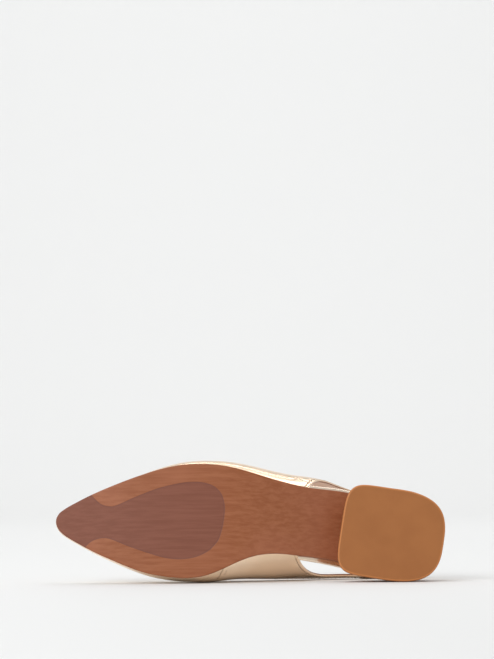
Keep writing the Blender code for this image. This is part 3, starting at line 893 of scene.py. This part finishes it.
# %% The print's outline
PRINT_OUTLINE = [
    (24.9, 58.6), (30.9, 53.3), (36.7, 51.8), (41.4, 52.6), (54.6, 58.3), (68.8, 63.4),
    (82.9, 66.3), (91.3, 67.0), (97.6, 66.9), (102.8, 65.8), (106.7, 64.1), (110.1, 61.3),
    (112.2, 58.3), (113.3, 54.8), (114.0, 50.5), (113.7, 45.4), (112.2, 36.8), (109.7, 29.1),
    (106.7, 25.3), (103.2, 21.9), (96.8, 18.5), (91.3, 16.8), (82.7, 15.9), (73.5, 16.8),
    (64.0, 19.5), (49.9, 24.4), (38.6, 29.0), (32.9, 30.2), (26.2, 28.8), (21.1, 25.0),
    (15.0, 17.0), (-8.0, 12.0), (-12.0, 42.0), (-8.0, 74.0), (18.0, 66.0),
]


def rounded(outline, steps=5):
    """Closed smooth line through the points."""
    points = np.array(outline, float)
    line = []
    for i in range(len(points)):
        a, b, c, d = (points[(i + k) % len(points)] for k in (-1, 0, 1, 2))
        bend = 2.0 * a - 5.0 * b + 4.0 * c - d
        twist = 3.0 * b - a - 3.0 * c + d
        for t in np.arange(steps) / steps:
            line.append(0.5 * (2.0 * b + (c - a) * t + bend * t ** 2 + twist * t ** 3))
    return np.array(line)


def depth_inside(places, line):
    """How far each place is inside the closed line; negative outside."""
    nearest = np.full(len(places), np.inf)
    inside = np.zeros(len(places), bool)
    for a, b in zip(line, np.roll(line, -1, axis=0)):
        run = b - a
        share = np.clip(((places - a) @ run) / (run @ run), 0.0, 1.0)
        away = places - (a + share[:, None] * run)
        nearest = np.minimum(nearest, np.hypot(away[:, 0], away[:, 1]))
        crosses = (a[1] > places[:, 1]) != (b[1] > places[:, 1])
        reach = a[0] + (places[:, 1] - a[1]) * run[0] / (run[1] if run[1] else 1e-9)
        inside ^= crosses & (places[:, 0] < reach)
    return np.where(inside, nearest, -nearest)


print_line = rounded(PRINT_OUTLINE)
print("print outline of", len(print_line), "points")

# %% [markdown]
# ### The sole's leather
# Streaks and clouds make the brown. The print is darker and duller than the rest, it lies a
# little deeper, and its rim is darkest. The border's widths are in millimetres.

# %% Sole leather
DARK_STREAK, LIGHT_STREAK = (0.282, 0.090, 0.035), (0.350, 0.126, 0.056)
FINE_STREAK = (0.25, 0.072, 0.030)
PALE_CLOUD = (0.40, 0.146, 0.080)
DARK_INK, LIGHT_INK = (0.202, 0.069, 0.041), (0.236, 0.085, 0.053)
PRINT_RIM = (0.16, 0.066, 0.05)
PRINT_BORDER = 0.18
RIM_PLACE = 0.45


def sole_leather():
    """Streaked brown leather with its print, which is darker, duller and a little sunken."""
    made = principled("sole_leather", (0.30, 0.108, 0.053), 0.45, Specular_IOR_Level=0.25)
    p = Pattern(made)
    streaks = p.noise(1.0, 4.0, p.stretched((28.0, 500.0, 500.0)), 0.6)
    fine = p.noise(1.0, 2.0, p.stretched((90.0, 1900.0, 1900.0)), 0.6)
    cloud = p.noise(18.0, 2.0)
    tone = p.blend(p.remap(streaks, 0.32, 0.68), DARK_STREAK, LIGHT_STREAK)
    tone = p.blend(p.times(p.remap(fine, 0.45, 0.75), 0.35), tone, FINE_STREAK)
    tone = p.blend(p.times(p.remap(cloud, 0.4, 0.7), 0.35), tone, PALE_CLOUD)
    inside = p.attribute("print_mm")
    printed = p.remap(inside, -PRINT_BORDER, PRINT_BORDER)
    ink = p.blend(p.remap(streaks, 0.3, 0.7), DARK_INK, LIGHT_INK)
    tone = p.blend(printed, tone, ink)
    rim = p.near(inside, RIM_PLACE, 0.1, 0.75)
    tone = p.blend(p.times(rim, 0.32), tone, PRINT_RIM)
    p.colour(tone)
    dull = p.remap(fine, 0.3, 0.7, 0.36, 0.46)
    p.roughness(p.math("ADD", dull, p.times(printed, 0.08)))
    skin = p.relief(fine, 0.00008, 0.5)
    skin = p.relief(p.cells(1500.0, "SMOOTH_F1"), 0.00006, 0.35, skin)
    p.relief(printed, -0.00012, 1.0, skin)
    return made


sole_brown = sole_leather()
print("sole leather ready")

# %% [markdown]
# ## The sole
# The sole is cut into shorter faces before it is subdivided, so that the print's distances
# follow its outline. Its outer side swells like the footbed's and a little more at the ball,
# and its inner side is trimmed at the toe and where the rand shows below it.

# %% Build the sole
SOLE_SWELL = [(60.0, 0.0), (76.0, 0.6), (90.0, 1.2), (126.0, 1.2), (146.0, 0.8)] + SWELL[2:]
INNER_TRIM = [(10.0, 0.4), (22.0, 0.9), (70.0, 0.9), (100.0, 0.0), (160.0, 0.0), (167.0, 0.5),
              (177.0, 1.1), (187.0, 1.6), (197.0, 1.6), (206.0, 0.8), (216.0, 0.0)]
SOLE_ROUNDING = 0.3 * MM
SOLE_FACES = 5.0 * MM
FAR_FROM_PRINT = 9.0
sole_sheet = copy_of("outsole")
round_sharp_edges(sole_sheet, SOLE_ROUNDING)
cut_long_edges(sole_sheet, SOLE_FACES)
sole_sheet = subdivided(sole_sheet, 1)
print_layer = sole_sheet.verts.layers.float.new("print_mm")
sole_places = np.array([(from_toe(v.co) / MM, v.co.z / MM) for v in sole_sheet.verts])
for vert, depth in zip(sole_sheet.verts, depth_inside(sole_places, print_line)):
    vert[print_layer] = max(-FAR_FROM_PRINT, min(FAR_FROM_PRINT, depth))
swell(sole_sheet, SOLE_SWELL)
swell(sole_sheet, INNER_TRIM, side=-1.0)
dress("sole_leather", sole_sheet, "outsole", sole_brown)

# %% [markdown]
# ## The heel
# The block is wrapped in smooth caramel leather, and the top lift is a slab of the same
# colour whose rounded edge carries a lighter painted highlight.

# %% Heel finishes
FLECKS = (0.22, 0.08, 0.03)
# painted highlight along the lift's rounded edge
LIFT_RIM_PAINTED_HIGHLIGHT = (0.56, 0.215, 0.070)


def caramel(name, colour, light, dark, gloss, rim=None):
    """Smooth caramel finish, with a painted highlight on the rim where a colour is given for it.
    """
    made = principled(name, colour, gloss, Specular_IOR_Level=0.25)
    p = Pattern(made)
    cloud = p.noise(40.0, 3.0)
    tone = p.blend(p.remap(cloud, 0.35, 0.7), dark, light)
    flecks = p.remap(p.noise(1400.0, 2.0), 0.6, 0.75)
    tone = p.blend(p.times(flecks, 0.12), tone, FLECKS)
    # painted highlight on the rim, fading inward over about a millimetre
    if rim:
        edge = p.remap(p.attribute("rim_mm"), 0.55, 1.1, 1.0, 0.0)
        tone = p.blend(p.times(edge, 0.85), tone, rim)
    p.colour(tone)
    p.roughness(p.remap(p.noise(300.0, 2.0), 0.3, 0.7, gloss - 0.05, gloss + 0.06))
    p.relief(p.noise(1800.0, 2.0), 0.00006, 0.4)
    return made


lift_finish = caramel("top_lift", (0.36, 0.135, 0.040), light=(0.375, 0.142, 0.043),
                      dark=(0.345, 0.128, 0.038), gloss=0.46, rim=LIFT_RIM_PAINTED_HIGHLIGHT)
cover_finish = caramel("heel_cover", (0.40, 0.16, 0.058), light=(0.43, 0.175, 0.066),
                       dark=(0.37, 0.145, 0.05), gloss=0.34)
print("heel finishes ready")

# %% [markdown]
# ### Lift and block
# The lift's two large faces are its flat sides, and the edges round the rest are its outline.
# Each point carries its distance from them for the painted highlight on the rim. The lift's
# outer side swells a little.
# The block follows the footbed's swell at its top and the lift's at its foot.

# %% Build the top lift
HEEL_SWELL = [(200.0, 0.5), (225.0, 0.7), (240.0, 1.3), (252.0, 1.3)]
HEEL_ROUNDING = 0.4 * MM
LIFT_FACES = 4.0 * MM
FAR_FROM_RIM = 9.0
lift_sheet = copy_of("heel_tip")
lift_sides = smooth_regions(lift_sheet)[2:]
lift_outline = [[vert.co.copy() for vert in edge.verts] for faces in lift_sides
                for face in faces for edge in face.edges if edge.calc_face_angle(0.0) > SHARP]
round_sharp_edges(lift_sheet, HEEL_ROUNDING, 3)
cut_long_edges(lift_sheet, LIFT_FACES)
lift_sheet = subdivided(lift_sheet, 1)
lift_places = [vert.co.copy() for vert in lift_sheet.verts]
swell(lift_sheet, HEEL_SWELL)
rim_layer = lift_sheet.verts.layers.float.new("rim_mm")
lift_edge = tree_of(points_along(lift_outline))
for vert, flat in zip(lift_sheet.verts, lift_places):
    vert[rim_layer] = min(FAR_FROM_RIM, lift_edge.find(flat)[2] / MM)
dress("heel_top_lift", lift_sheet, "heel_tip", lift_finish)

# %% Build the heel block
SWELL_RISE = 1.5
block_sheet = copy_of("heel_block")
round_sharp_edges(block_sheet, HEEL_ROUNDING)
block_sheet = subdivided(block_sheet, 1)
block_top = max(above_floor_when_worn(vert.co) for vert in block_sheet.verts)


def share_of_height(point):
    return above_floor_when_worn(point) / block_top


swell(block_sheet, SWELL, lambda point: max(0.0, share_of_height(point)) ** SWELL_RISE)
swell(block_sheet, HEEL_SWELL, lambda point: 1.0 - share_of_height(point))
dress("heel_cover", block_sheet, "heel_block", cover_finish)
